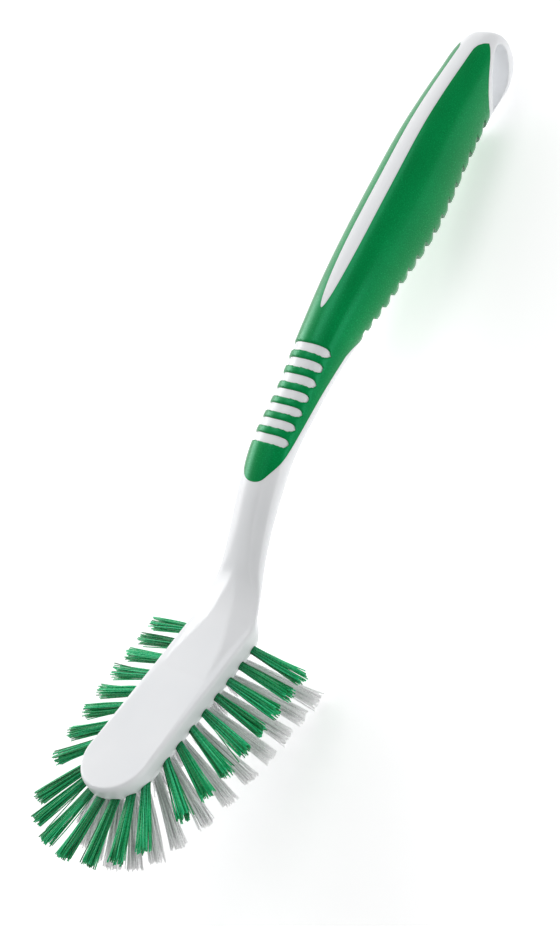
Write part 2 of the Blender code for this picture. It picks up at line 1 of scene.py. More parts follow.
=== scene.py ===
# Looks for the kitchen brush: the white moulding, the soft green grip and the bristles, redrawn
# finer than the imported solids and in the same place, with a floor, soft lights and a camera.

import math
import random

import bmesh
import bpy
import numpy as np
from mathutils import Matrix, Vector


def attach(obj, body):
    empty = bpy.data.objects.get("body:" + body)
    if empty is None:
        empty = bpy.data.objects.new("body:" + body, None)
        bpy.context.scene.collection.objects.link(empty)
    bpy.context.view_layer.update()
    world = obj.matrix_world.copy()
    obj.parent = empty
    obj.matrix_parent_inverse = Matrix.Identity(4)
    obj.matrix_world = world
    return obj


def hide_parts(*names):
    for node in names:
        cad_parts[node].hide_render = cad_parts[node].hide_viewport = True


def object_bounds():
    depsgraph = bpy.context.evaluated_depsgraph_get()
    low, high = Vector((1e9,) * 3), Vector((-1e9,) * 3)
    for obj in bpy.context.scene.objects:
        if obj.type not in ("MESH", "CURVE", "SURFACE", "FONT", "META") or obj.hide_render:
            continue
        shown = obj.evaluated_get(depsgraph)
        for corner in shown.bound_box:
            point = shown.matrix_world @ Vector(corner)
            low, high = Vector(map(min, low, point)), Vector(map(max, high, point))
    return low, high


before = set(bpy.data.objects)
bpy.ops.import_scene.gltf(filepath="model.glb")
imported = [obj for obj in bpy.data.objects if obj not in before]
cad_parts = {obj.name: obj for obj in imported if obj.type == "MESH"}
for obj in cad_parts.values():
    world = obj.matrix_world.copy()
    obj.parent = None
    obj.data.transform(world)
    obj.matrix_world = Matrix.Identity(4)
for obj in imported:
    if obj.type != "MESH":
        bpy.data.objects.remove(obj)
CAD_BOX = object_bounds()

MM = 0.001
NEARLY = 1e-6  # metres, for places that should be the same

# The brush is drawn in the frame of its head: X runs back from the nose and Z up from the flat
# top. That frame lies in the row frame like this.
REST_TURN = math.radians(23.17913)
REST_PLACE = Vector((-118.1435, -0.0636, 47.3961)) * MM
REST = Matrix.Translation(REST_PLACE) @ Matrix.Rotation(REST_TURN, 4, "Y")

# Head, as in the part
HEAD_HALF_WIDTH = 11.85 * MM
HEAD_DEPTH = 9.4 * MM
RIM_IN = 0.95 * MM  # the rounding between the top's edge and the side wall
RIM_DOWN = 1.2 * MM
RIM_SHARES = ((0.32, 0.2), (0.76, 0.5), (1.0, 1.0))
WALL_DEPTH = 4.3 * MM  # upright side wall
OUTER_BEVEL_IN = 1.45 * MM  # the bevel that carries the outer tufts
OUTER_BEVEL_DOWN = 2.7 * MM
INNER_BEVEL_IN = 3.75 * MM  # the flatter bevel that carries the second row
TOP_SHARES = (0.45, 0.92)  # the last is the edge of the top
BOTTOM_SHARES = (0.34, 0.17)

# Handle sections. Nine values are the part's: place, top, depth and half width in mm, lean in
# degrees, share of the head's section, power of the oval, crown of the top in mm and taper towards
# the foot. Three are this scene's own: where the flank breaks off from the flat of the top, as a
# share of the way to the top's edge, where that edge lies, as a share of the half width, and how
# far the flank is dished.
STATIONS = np.array(
    [
        (42.0, 0.0, 9.4, 11.85, 0.0, 1.0, 2.2, 0.0, 0.0, 0.95, 0.78, 0.0),
        (50.0, 0.7, 10.105, 11.85, 0.0, 1.0, 2.2, 0.6, 0.0, 0.85, 0.765, 0.0),
        (57.5, 1.9, 11.3, 11.85, 0.0, 1.0, 2.2, 1.7, 0.0, 0.56, 0.825, 0.0),
        (62.0, 2.95, 11.84, 11.85, 4.0, 1.0, 2.2, 2.5, 0.03, 0.38, 0.86, 0.0),
        (66.5, 4.55, 9.31, 11.08, 12.0, 0.95, 2.2, 2.5, 0.45, 0.31, 0.9, 0.02),
        (71.5, 7.4, 7.8, 9.18, 27.0, 0.6, 2.2, 2.0, 0.25, 0.17, 0.92, 0.12),
        (76.5, 11.7, 7.3, 7.5, 38.0, 0.2, 2.2, 0.6, 0.0, 0.0, 0.92, 0.18),
        (84.0, 18.6, 8.3, 7.2, 42.0, 0.0, 2.2, 0.0, 0.0, 0.0, 0.92, 0.2),
        (93.0, 26.0, 9.7, 7.4, 36.0, 0.0, 2.2, 0.0, 0.0, 0.0, 0.92, 0.16),
        (104.0, 33.0, 10.7, 7.5, 24.0, 0.0, 2.2, 0.0, 0.0, 0.0, 0.92, 0.06),
        (120.0, 39.0, 12.3, 7.4, 21.0, 0.0, 2.2, 0.0, 0.0, 0.0, 0.92, 0.0),
        (136.0, 46.0, 15.7, 8.4, 22.0, 0.0, 2.2, 0.0, 0.0, 0.0, 0.92, 0.0),
        (158.0, 54.1, 21.8, 10.3, 19.0, 0.0, 2.2, 0.0, 0.0, 0.0, 0.92, 0.0),
        (186.0, 62.3, 25.8, 11.4, 15.0, 0.0, 2.2, 0.0, 0.0, 0.0, 0.92, 0.0),
        (212.0, 69.0, 23.9, 10.5, 11.0, 0.0, 2.2, 0.0, 0.0, 0.0, 0.92, 0.0),
        (230.0, 71.6, 21.4, 9.5, 5.0, 0.0, 2.35, 0.0, 0.0, 0.0, 0.92, 0.0),
        (241.0, 72.6, 20.9, 8.6, 0.0, 0.0, 2.8, 0.0, 0.0, 0.0, 0.92, 0.0),
        (247.0, 71.9, 17.7, 7.5, 0.0, 0.0, 3.0, 0.0, 0.0, 0.0, 0.92, 0.0),
        (250.0, 69.6, 12.6, 6.4, 0.0, 0.0, 3.0, 0.0, 0.0, 0.0, 0.92, 0.0),
        (251.3, 66.2, 5.6, 5.0, 0.0, 0.0, 2.8, 0.0, 0.0, 0.0, 0.92, 0.0),
    ]
)
STATION_UNITS = np.array([MM, MM, MM, MM, 1, 1, 1, MM, 1, 1, 1, 1])
EDGE_COLUMN = 10  # where a station holds the place of the top's edge
FRONT_EDGE_SHARE = 0.945  # the top's edge at the round front
DISH_ANGLES = (74, 16)  # the part of the oval that is dished
FAR_DISH_SHARE = 0.3  # the dish of the far side, as a share of the near side's
OVAL_ANGLES = (90, 74, 59, 44, 30, 16, 0, -16, -32, -47, -61, -75, -90)
FINE = 5  # steps drawn for each step of a section
RING_PITCH = 1.2 * MM
PLACE_PITCH = 0.1 * MM  # steps of the search for the station at an X
FRONT_RINGS = 23
FRONT_STEPS = 60

# Hang loop, as in the part, X and Z in mm
LOOP_STEPS = 8
LOOP_POINTS = (
    (246.7, 66.6),
    (245.9, 63.2),
    (243.6, 59.4),
    (240.2, 56.3),
    (236.0, 54.5),
    (231.6, 54.3),
    (231.7, 58.0),
    (233.6, 62.0),
    (237.0, 65.8),
    (241.4, 68.6),
    (245.2, 69.0),
)

# Grip, as in the part
SHELL = 2.0 * MM  # depth of the pocket that the grip fills
NOSE_X = 84.0 * MM
SPINE_X = 76.0 * MM
GRIP_START_X = 72.0 * MM
SEAM_RISE_SHARE = 0.227  # how much the grip's lower edge climbs for each unit along X
SEAM_X = 96.0 * MM
SEAM_Z = 27.0 * MM
SEAM_TURN = ((138.0, 36.5), (143.0, 36.0), (147.5, 33.6), (151.0, 28.0))  # X and Z in mm
FAR_BELOW = 18.0 * MM
FAR_ABOVE = 95.0 * MM
REAR_EDGE = (  # X and Z in mm
    (228.4, 40.0),
    (228.5, 55.6),
    (229.4, 59.4),
    (231.3, 62.6),
    (234.4, 65.8),
    (238.2, 68.6),
    (243.4, 71.8),
)
REACH = 16.0 * MM
WINDOW_TIP_X = 144.0 * MM
WINDOW_FULL_X = 172.0 * MM
WINDOW_FLARE_X = 238.0 * MM
WINDOW_FLARE_END_X = 243.2 * MM
WINDOW_FLARE_HALF = 6.6 * MM
WINDOW_RISE = 8.0 * MM
WINDOW_DEPTH_SHARE = 0.46
WINDOW_END_X = 262.0 * MM
SLOT_COUNT = 7
SLOT_FIRST_X = 132.4 * MM
SLOT_PITCH = 4.55 * MM
SLOT_HALF_SHARE = 0.89  # of the half width of the grip
SLOT_RECESS = 0.5 * MM
SLOT_DEPTH_SHARE = 0.5
SLOT_RISE = 4.0 * MM
GROOVE_COUNT = 16
GROOVE_FIRST_X = 146.1 * MM
GROOVE_PITCH = 4.55 * MM
GROOVE_PITCH_GROWTH = 0.05 * MM
GROOVE_SWEEP_SHARE = 0.42  # how far a groove runs forward for its climb up the flank

# Grip, this scene's own
SEAM_GAP = 0.05 * MM  # between the grip and the moulding
SEAM_STEPS = 5
REAR_STEPS = 6
WINDOW_HALF = 2.9 * MM
WINDOW_LEAST_HALF = 0.1 * MM
WINDOW_TIP_STEPS = 24
WINDOW_STEPS = 44
SLOT_WIDTH = 2.6 * MM
SLOT_FAR_MORE = 1.5 * MM  # how much further the slots run out on the far side
SLOT_BOW = 0.8 * MM
SLOT_STEPS = 12
GROOVE_PROFILE = (  # in mm, along the handle from the ridge's tip, and down into the surface
    (0.0, -0.6),
    (0.0, 0.0),
    (0.5, 0.85),
    (0.95, 1.8),
    (0.0, 1.5),
    (-0.9, 0.98),
    (-2.1, 0.34),
    (-3.6, -0.1),
    (-3.6, -0.6),
)
GROOVE_POINTS = range(7 * FINE, 17 * FINE + 1, 2)  # the ring points that a groove runs through
GROOVE_FADE_SHARE = 0.16  # of a groove's length, where it fades out at each end
GROOVE_LIFT = 0.05  # in mm, how far its ends stand off the surface

# Edges: the voxels that even out the faces, and the rounds of smoothing that round the edges
GRIP_VOXEL = 0.3 * MM
GRIP_ROUNDS = 7
BODY_VOXEL = 0.34 * MM
BODY_ROUNDS = 4
ROUNDING = 0.5
SHARP_ANGLE = math.radians(38)

# Tufts, as in the part, with the rows in mm and degrees
STRAIGHT_COUNT = 8
TUFT_PITCH = 5.9 * MM
REAR_TUFT_X = 59.2 * MM
FRONT_COUNT = 3
OUTER_ROW = dict(
    edge=0.75,
    down=5.7,
    lengths=(19.4, 19.4),
    drops=(8, 8),
    lean=5,
    power=2.15,
    step=25,
    offset=0,
)
SECOND_ROW = dict(
    edge=4.6,
    down=8.9,
    lengths=(25, 20.5),
    drops=(36, 42),
    lean=-10,
    power=2.1,
    step=31,
    offset=0.5,
)
CENTRE_COUNT = 6
CENTRE_FIRST_X = 11.0 * MM
CENTRE_PITCH = 8.4 * MM
CENTRE_LENGTH = 14.6 * MM
CENTRE_LEANS = (14.0, -6.0)

# The tufts' holes
TUFT_HOLE_RADIUS = 1.38 * MM
TUFT_HOLE_DEPTH = 3.6 * MM
TUFT_HOLE_RISE = 3.0 * MM
TUFT_HOLE_SIDES = 24

# Bristles
PAIRS = 24  # bristles folded over the anchor, each with two ends showing
BRISTLE_RADIUS = 0.175 * MM
BRISTLE_SIDES = 6
BUNDLE_RADIUS = 1.2 * MM  # of a tuft in its hole
GOLDEN_TURN = 0.618034  # spreads the bristles evenly over the bundle
OUTER_SPREAD = 1.8  # how many times as wide a tuft is at its tips as at its root
INNER_SPREAD = 2.1
SPREAD_POWER = 1.15
LEG_FOOT = -2.9 * MM + 0.7 * MM  # where the legs of a bristle meet its fold
LEG_MOUTH = -0.6 * MM  # up to where they stand straight in the hole
LEG_SHARES = (0.06, 0.22, 0.42, 0.62, 0.82, 1.0)
FOLD_DROP = 0.55 * MM
FOLD_STEPS = 6
WANDER = 0.22 * MM  # how far a tip strays to a side
STRAY_WANDER = 0.85 * MM
STRAY_CHANCE = 0.09
WANDER_POWER = 1.6
BOW = 0.14 * MM  # how far a leg bends to a side halfway up
LENGTH_RANGE = (-0.045, 0.025)  # how unevenly the tips are cut
FIRST_SEED = 1000
FLOOR_ROOM = 0.02 * MM  # between the lowest tips and the floor
ANY_WAY = (0.3, 0.9, 0.31)  # a direction that no bristle takes
BRISTLE_SLOT, ANCHOR_SLOT = 0, 1

# Wire anchors
ANCHOR_HALF_WIDTH = 1.45 * MM
ANCHOR_HALF_THICKNESS = 0.2 * MM
ANCHOR_HEIGHT = 0.9 * MM
ANCHOR_DROP = 0.3 * MM
ANCHOR_SIDE_SHARE = 0.7  # of its half thickness, the least that a leg keeps to its side

# Floor and light
FLOOR_HALF_SIZE = 8.0
FLOOR_CELLS = 8
FLOOR_GLOW = 0.4  # a lit table, which leaves little shadow
WORLD_LIGHT = 0.29
LIGHT_AIM = Vector((0, 0, 0.02))
LIGHTS = (  # name, place, size and power
    ("far_side", Vector((0.0, 1.113, 0.45)), (0.8, 0.6), 7.2),
    ("far_back", Vector((0.638, 0.911, 0.45)), (0.9, 1.0), 4.0),
    ("near_side", Vector((0.0, -1.141, 0.371)), (0.8, 0.6), 3.5),
    ("high_back", Vector((0.488, 0.282, 1.06)), (0.6, 0.5), 2.2),
    ("overhead", Vector((0.0, 0.042, 1.2)), (1.0, 1.0), 1.4),
)

# The camera is placed by the photograph's outline of the brush. Its turn is in degrees.
CAMERA_PLACE = Vector((-0.08962, -0.33456, 0.40423))
CAMERA_TURN = (25.7876, 34.7110, -62.6602)
CAMERA_LENS = 67.95
CAMERA_SENSOR = 36.0
CAMERA_CLIP = 0.01


# Sections of the handle


def monotone_slopes(knots, values):
    runs = np.diff(knots)
    rises = np.diff(values) / runs
    slopes = np.zeros(len(values))
    slopes[0], slopes[-1] = rises[0], rises[-1]
    for i in range(1, len(values) - 1):
        if rises[i - 1] * rises[i] > 0:
            before = 2 * runs[i] + runs[i - 1]
            after = runs[i] + 2 * runs[i - 1]
            slopes[i] = (before + after) / (before / rises[i - 1] + after / rises[i])
    return slopes


TABLE = STATIONS * STATION_UNITS
KNOTS = np.concatenate([[0], np.cumsum(np.hypot(np.diff(TABLE[:, 0]), np.diff(TABLE[:, 1])))])
SLOPES = np.stack([monotone_slopes(KNOTS, column) for column in TABLE.T], axis=1)


def station_at(along):
    i = int(np.clip(np.searchsorted(KNOTS, along) - 1, 0, len(KNOTS) - 2))
    run = KNOTS[i + 1] - KNOTS[i]
    t = (along - KNOTS[i]) / run
    start = (1 + 2 * t) * (1 - t) ** 2 * TABLE[i] + t * (1 - t) ** 2 * run * SLOPES[i]
    end = t * t * (3 - 2 * t) * TABLE[i + 1] + t * t * (t - 1) * run * SLOPES[i + 1]
    return start + end


PLACES = np.arange(0, KNOTS[-1], PLACE_PITCH)
PLACES_X = np.array([station_at(place)[0] for place in PLACES])


def station_at_x(x):
    return station_at(np.interp(x, PLACES_X, PLACES))


def finer(values):
    """The values with more spread evenly between them."""
    at = np.linspace(0, len(values) - 1, (len(values) - 1) * FINE + 1)
    return np.interp(at, range(len(values)), values)


def head_profile(half_width, depth, crown, crease, edge):
    """Half of the head's section, from the middle of the top to the middle of the underside."""
    scale = (depth - crown) / HEAD_DEPTH
    flats = [share * half_width for share in (0, edge * TOP_SHARES[0] / TOP_SHARES[1], edge)]
    rim = [(half_width - (1 - share) * RIM_IN, down * RIM_DOWN) for share, down in RIM_SHARES]
    rim.append((half_width, WALL_DEPTH))
    outer = (half_width - OUTER_BEVEL_IN, WALL_DEPTH + OUTER_BEVEL_DOWN)
    inner = (outer[0] - INNER_BEVEL_IN, HEAD_DEPTH)
    middle = ((outer[0] + inner[0]) / 2, (outer[1] + inner[1]) / 2)
    base = [(share * half_width, HEAD_DEPTH) for share in (*BOTTOM_SHARES, 0)]
    points = [(y, -crown) for y in flats]
    points += [(y, -crown - z * scale) for y, z in (*rim, outer, middle, inner, *base)]
    points = np.stack([finer(column) for column in np.array(points).T], axis=1)
    top = points[: (len(flats) - 1) * FINE + 1]
    top[:, 1] = -crown * np.clip((top[:, 0] / flats[-1] - crease) / (1 - crease), 0, 1)
    return points


FINE_ANGLES = finer(OVAL_ANGLES)
DISH_SHARES = (DISH_ANGLES[0] - FINE_ANGLES) / (DISH_ANGLES[0] - DISH_ANGLES[1])
DISH = np.sin(math.pi * np.clip(DISH_SHARES, 0, 1)) ** 2


def oval_profile(half_width, depth, power):
    angles = np.radians(FINE_ANGLES)
    across = half_width * np.abs(np.cos(angles)) ** (2 / power)
    up = depth / 2 * np.sign(np.sin(angles)) * np.abs(np.sin(angles)) ** (2 / power)
    across[0] = across[-1] = 0
    return np.stack([across, up - depth / 2], axis=1)


def ring_at(station, inset=0.0):
    """The closed section at a station, drawn in by the inset all round."""
    x, top, depth, half_width, lean, box_share, power, crown, taper, crease, edge, dish = station
    half_width, depth = half_width - inset, depth - 2 * inset
    half = oval_profile(half_width, depth, power)
    if box_share > 0:
        half = half + (head_profile(half_width, depth, crown, crease, edge) - half) * box_share
        half[:, 0] *= 1 - taper * np.maximum(0, -half[:, 1] - crown) / (depth - crown)
    lean = math.radians(lean)
    up = np.array([-math.sin(lean), 0, math.cos(lean)])
    start = np.array([x, 0, top]) - up * inset
    halves = []
    for side, share in ((1, FAR_DISH_SHARE), (-1, 1)):
        across = half[:, :1] * (1 - share * dish * DISH)[:, None]
        halves.append(start + half[:, 1:] * up + across * (0, side, 0))
    far, near = halves
    return np.concatenate([far, near[-2:0:-1]])


def handle_rings(first_x, last_x, inset=0.0):
    places = np.linspace(0, KNOTS[-1], round(KNOTS[-1] / RING_PITCH))
    stations = [station_at(place) for place in places]
    stations = [s for s in stations if first_x - NEARLY <= s[0] <= last_x + NEARLY]
    return [ring_at(station, inset) for station in stations]


# Meshes


def to_object(name, bm):
    bmesh.ops.recalc_face_normals(bm, faces=bm.faces[:])
    mesh = bpy.data.meshes.new(name)
    bm.to_mesh(mesh)
    bm.free()
    obj = bpy.data.objects.new(name, mesh)
    bpy.context.scene.collection.objects.link(obj)
    return obj


def skin(bm, rows):
    for row, following in zip(rows[:-1], rows[1:]):
        for i in range(len(row)):
            j = (i + 1) % len(row)
            bm.faces.new((row[i], row[j], following[j], following[i]))


def lofted(bm, rings):
    rows = [[bm.verts.new(point) for point in ring] for ring in rings]
    skin(bm, rows)
    bm.faces.new(rows[0])
    bm.faces.new(rows[-1])


def blank(name, first_x, last_x, inset=0.0):
    bm = bmesh.new()
    lofted(bm, handle_rings(first_x, last_x, inset))
    return to_object(name, bm)


def moulding_blank():
    """Head, neck and handle. The round front is half of the head's section, turned about an
    upright axis."""
    bm = bmesh.new()
    front = TABLE[0].copy()
    front[0], front[EDGE_COLUMN] = HEAD_HALF_WIDTH, FRONT_EDGE_SHARE
    shares = np.linspace(0, 1, FRONT_RINGS + 1)[:-1]
    rings = [ring_at(front + (TABLE[0] - front) * share) for share in shares]
    rings += handle_rings(TABLE[0][0], TABLE[-1][0])
    rows = [[bm.verts.new(point) for point in ring] for ring in rings]
    skin(bm, rows)
    bm.faces.new(rows[-1])
    count = len(rows[0])
    last = count // 2
    right = rows[0][1:last]
    columns = [right]
    for step in range(1, FRONT_STEPS):
        turn = math.pi * step / FRONT_STEPS
        column = []
        for _, y, z in (vert.co for vert in right):
            x = HEAD_HALF_WIDTH - math.sin(turn) * y
            column.append(bm.verts.new((x, math.cos(turn) * y, z)))
        columns.append(column)
    columns.append([rows[0][count - i] for i in range(1, last)])
    for column, following in zip(columns[:-1], columns[1:]):
        bm.faces.new((rows[0][0], column[0], following[0]))
        bm.faces.new((rows[0][last], following[-1], column[-1]))
        for i in range(len(column) - 1):
            bm.faces.new((column[i], column[i + 1], following[i + 1], following[i]))
    return to_object("white_body", bm)


def prism(bm, outline, shift):
    """The outline drawn out by the shift."""
    start = [bm.verts.new(point) for point in outline]
    end = [bm.verts.new(Vector(point) + Vector(shift)) for point in outline]
    skin(bm, [start, end])
    bm.faces.new(start)
    bm.faces.new(end)


def curve_through(points, steps, closed):
    """A smooth line through points in mm."""
    points = [np.array(p) * MM for p in points]
    if not closed:
        points = [2 * points[0] - points[1], *points, 2 * points[-1] - points[-2]]
    line = []
    first = -1 if closed else 0
    for i in range(len(points) - (0 if closed else 3)):
        a, b, c, d = (points[(i + first + k) % len(points)] for k in range(4))
        for step in range(steps):
            t = step / steps
            bend = (2 * a - 5 * b + 4 * c - d) * t * t + (3 * b - a - 3 * c + d) * t**3
            line.append(tuple((2 * b + (c - a) * t + bend) / 2))
    if not closed:
        line.append(tuple(points[-2]))
    return line


def side_prism(name, outline):
    """A prism right through the handle, from its outline seen from the side."""
    bm = bmesh.new()
    prism(bm, [(x, -REACH, z) for x, z in outline], (0, 2 * REACH, 0))
    return to_object(name, bm)


def grown(outline, by):
    """The outline, which runs anticlockwise, with every side moved out."""
    points = np.array(outline)
    sides = np.roll(points, -1, axis=0) - points
    normals = np.stack([sides[:, 1], -sides[:, 0]], axis=1)
    normals /= np.linalg.norm(normals, axis=1)[:, None]
    before = np.roll(normals, 1, axis=0)
    mitre = (normals + before) / (1 + (normals * before).sum(axis=1))[:, None]
    return points + by * mitre


def grip_space(name, margin):
    """Where the grip may lie, seen from the side, with a margin all round."""
    outline = [
        (NOSE_X, SEAM_Z + (NOSE_X - SEAM_X) * SEAM_RISE_SHARE),
        *curve_through(SEAM_TURN, SEAM_STEPS, False),
        (SEAM_TURN[-1][0] * MM, FAR_BELOW),
        (REAR_EDGE[0][0] * MM, FAR_BELOW),
        *curve_through(REAR_EDGE, REAR_STEPS, False),
        (REAR_EDGE[-1][0] * MM, FAR_ABOVE),
        (NOSE_X, FAR_ABOVE),
    ]
    return side_prism(name, grown(outline, margin))


def window_half(x):
    if x < WINDOW_FULL_X:
        share = (WINDOW_FULL_X - x) / (WINDOW_FULL_X - WINDOW_TIP_X)
        return WINDOW_HALF * math.sqrt(max(0, 1 - share * share))
    share = min(1, max(0, (x - WINDOW_FLARE_X) / (WINDOW_FLARE_END_X - WINDOW_FLARE_X)))
    return WINDOW_HALF + (WINDOW_FLARE_HALF - WINDOW_HALF) * share**2


def window_cutter(name, margin):
    """The window along the top, with a round tip in front and a flare behind."""
    turns = np.linspace(0, math.pi / 2, WINDOW_TIP_STEPS + 1)
    tip = WINDOW_FULL_X - (WINDOW_FULL_X - WINDOW_TIP_X) * np.cos(turns)
    rest = np.linspace(WINDOW_FULL_X, WINDOW_FLARE_END_X, WINDOW_STEPS + 1)[1:]
    rings = []
    for x in (*tip, *rest, WINDOW_END_X):
        _, top, depth, *_ = station_at_x(min(x, WINDOW_FLARE_END_X))
        half = max(window_half(x) + margin, WINDOW_LEAST_HALF)
        start = x - margin if x == tip[0] else x
        high = top + WINDOW_RISE
        low = top - WINDOW_DEPTH_SHARE * depth
        corners = ((-half, low), (half, low), (half, high), (-half, high))
        rings.append([(start, y, z) for y, z in corners])
    bm = bmesh.new()
    lofted(bm, rings)
    return to_object(name, bm)


def slot_cutter(name, margin):
    """Slots across the top that bow back a little towards their ends."""
    bm = bmesh.new()
    radius = SLOT_WIDTH / 2 + margin
    turns = np.linspace(0, math.pi, SLOT_STEPS + 1)
    for number in range(SLOT_COUNT):
        x = SLOT_FIRST_X - number * SLOT_PITCH
        _, top, depth, half_width, *_ = station_at_x(x)
        reach = SLOT_HALF_SHARE * half_width - SLOT_WIDTH / 2
        low = top - SLOT_DEPTH_SHARE * depth
        far, near = reach + SLOT_FAR_MORE, -reach
        outline = [(radius * math.cos(t), far + radius * math.sin(t)) for t in turns]
        outline += [(-radius, y) for y in np.linspace(far, near, SLOT_STEPS + 1)[1:-1]]
        outline += [(-radius * math.cos(t), near - radius * math.sin(t)) for t in turns]
        outline += [(radius, y) for y in np.linspace(near, far, SLOT_STEPS + 1)[1:-1]]
        bowed = [(x + a + SLOT_BOW * (y / reach) ** 2, y, low) for a, y in outline]
        prism(bm, bowed, (0, 0, top + SLOT_RISE - low))
    return to_object(name, bm)


def groove_cutter(name):
    """Hooked grooves round the underside, which fade out part of the way up both flanks."""
    bm = bmesh.new()
    first, last = GROOVE_POINTS[0], GROOVE_POINTS[-1]
    for number in range(GROOVE_COUNT):
        foot_x = GROOVE_FIRST_X + number * GROOVE_PITCH + number**2 * GROOVE_PITCH_GROWTH
        middle = ring_at(station_at_x(foot_x))
        lowest = middle[len(middle) // 2][2]
        rows = []
        for index in GROOVE_POINTS:
            share = (index - first) / (last - first)
            fade = min(1, min(share, 1 - share) / GROOVE_FADE_SHARE)
            fade = fade * fade * (3 - 2 * fade)
            start = foot_x - GROOVE_SWEEP_SHARE * (middle[index][2] - lowest)
            row = []
            for along, down in GROOVE_PROFILE:
                if down >= 0:
                    down = down * fade - GROOVE_LIFT * (1 - fade)
                row.append(ring_at(station_at_x(start + along * MM), down * MM)[index])
            rows.append(row)
        lofted(bm, rows)
    return to_object(name, bm)


def boolean(obj, other, operation):
    modifier = obj.modifiers.new(other.name, "BOOLEAN")
    modifier.object = other
    modifier.operation = operation
    modifier.solver = "MANIFOLD"  # the exact solver leaves nothing of the grip


def baked(obj):
    """The object with its modifiers made real."""
    bpy.context.view_layer.update()
    graph = bpy.context.evaluated_depsgraph_get()
    mesh = bpy.data.meshes.new_from_object(obj.evaluated_get(graph))
    obj.modifiers.clear()
    obj.data = mesh
    return obj


def softened(obj, voxel, rounds):
    """Even faces all over with every edge rounded, as moulded plastic has them."""
    remesh = obj.modifiers.new("voxels", "REMESH")
    remesh.mode = "VOXEL"
    remesh.voxel_size = voxel
    smooth = obj.modifiers.new("rounding", "SMOOTH")
    smooth.factor = ROUNDING
    smooth.iterations = rounds
    baked(obj)


def kept_inside(mesh, floor=0.0):
    """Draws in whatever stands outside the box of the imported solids."""
    points = np.empty(len(mesh.vertices) * 3)
    mesh.vertices.foreach_get("co", points)
    lowest, highest = np.array(CAD_BOX[0]), np.array(CAD_BOX[1])
    lowest[2] += floor
    mesh.vertices.foreach_set("co", np.clip(points.reshape(-1, 3), lowest, highest).ravel())
    mesh.update()


def finished(obj):
    """Smooth but for its sharp edges, and turned to lie at rest."""
    obj.data.shade_smooth()
    obj.data.set_sharp_from_angle(angle=SHARP_ANGLE)
    obj.data.transform(REST)
    kept_inside(obj.data)


# Bristles


def between(ends, share):
    return ends[0] + (ends[1] - ends[0]) * share


def row_places(row):
    """The tufts of one side of a row, from the rear: share of the run, root and way along."""
    radius = HEAD_HALF_WIDTH - row["edge"] * MM
    straight = REAR_TUFT_X - HEAD_HALF_WIDTH
    total = straight + radius * math.pi / 2
    places = []
    for number in range(STRAIGHT_COUNT):
        run = (number + row["offset"]) * TUFT_PITCH
        places.append((run / total, Vector((REAR_TUFT_X - run, radius, 0)), Vector((1, 0, 0))))
    for number in range(FRONT_COUNT):
        turn = math.radians((FRONT_COUNT - number - row["offset"]) * row["step"])
        run = straight + radius * (math.pi / 2 - turn)
        root = Vector((HEAD_HALF_WIDTH - radius * math.cos(turn), radius * math.sin(turn), 0))
        places.append((run / total, root, Vector((math.sin(turn), math.cos(turn), 0))))
    return places


def side_tufts(row, word):
    tufts = []
    for number, (share, root, along) in enumerate(row_places(row), 1):
        lean = math.radians(between((row["lean"], 90), share ** row["power"]))
        drop = math.radians(between(row["drops"], share))
        length = between(row["lengths"], share) * MM
        root = root - Vector((0, 0, row["down"] * MM))
        out = math.cos(drop)
        axis = Vector((-math.sin(lean) * out, math.cos(lean) * out, -math.sin(drop)))
        for side, side_word in ((1, "right"), (-1, "left")):
            name = f"{word}_tuft_{side_word}_{number:02d}"
            flip = Vector((1, side, 1))
            tufts.append((name, root * flip, axis * flip, along * flip, length))
    return tufts


def all_tufts():
    """Name, root, axis, way along the row and length of each tuft."""
    tufts = side_tufts(OUTER_ROW, "outer")
    drop = math.radians(OUTER_ROW["drops"][1])
    root = Vector((OUTER_ROW["edge"], 0, -OUTER_ROW["down"])) * MM
    axis = Vector((-math.cos(drop), 0, -math.sin(drop)))
    tufts.append(("outer_tuft_front", root, axis, Vector((0, 1, 0)), OUTER_ROW["lengths"][1] * MM))
    tufts += side_tufts(SECOND_ROW, "second")
    for number in range(CENTRE_COUNT):
        name = f"centre_tuft_{number + 1:02d}"
        lean = math.radians(between(CENTRE_LEANS, number / (CENTRE_COUNT - 1)))
        root = Vector((CENTRE_FIRST_X + number * CENTRE_PITCH, 0, -HEAD_DEPTH))
        axis = Vector((-math.sin(lean), 0, -math.cos(lean)))
        tufts.append((name, root, axis, Vector((1, 0, 0)), CENTRE_LENGTH))
    return tufts


def tuft_frame(root, axis, along):
    """Z along the tuft and Y along its row."""
    z = axis.normalized()
    y = (along - z * along.dot(z)).normalized()
    x = y.cross(z)
    return Matrix.Translation(root) @ Matrix((x, y, z)).transposed().to_4x4()


def hole_cutter(tufts):
    bm = bmesh.new()
    turns = np.linspace(0, 2 * math.pi, TUFT_HOLE_SIDES + 1)[:-1]
    circle = [(TUFT_HOLE_RADIUS * math.cos(t), TUFT_HOLE_RADIUS * math.sin(t)) for t in turns]
    for _, root, axis, along, _ in tufts:
        place = tuft_frame(root, axis, along)
        ends = (-TUFT_HOLE_DEPTH, TUFT_HOLE_RISE)
        lofted(bm, [[place @ Vector((x, y, z)) for x, y in circle] for z in ends])
    return to_object("hole_cutter", bm)


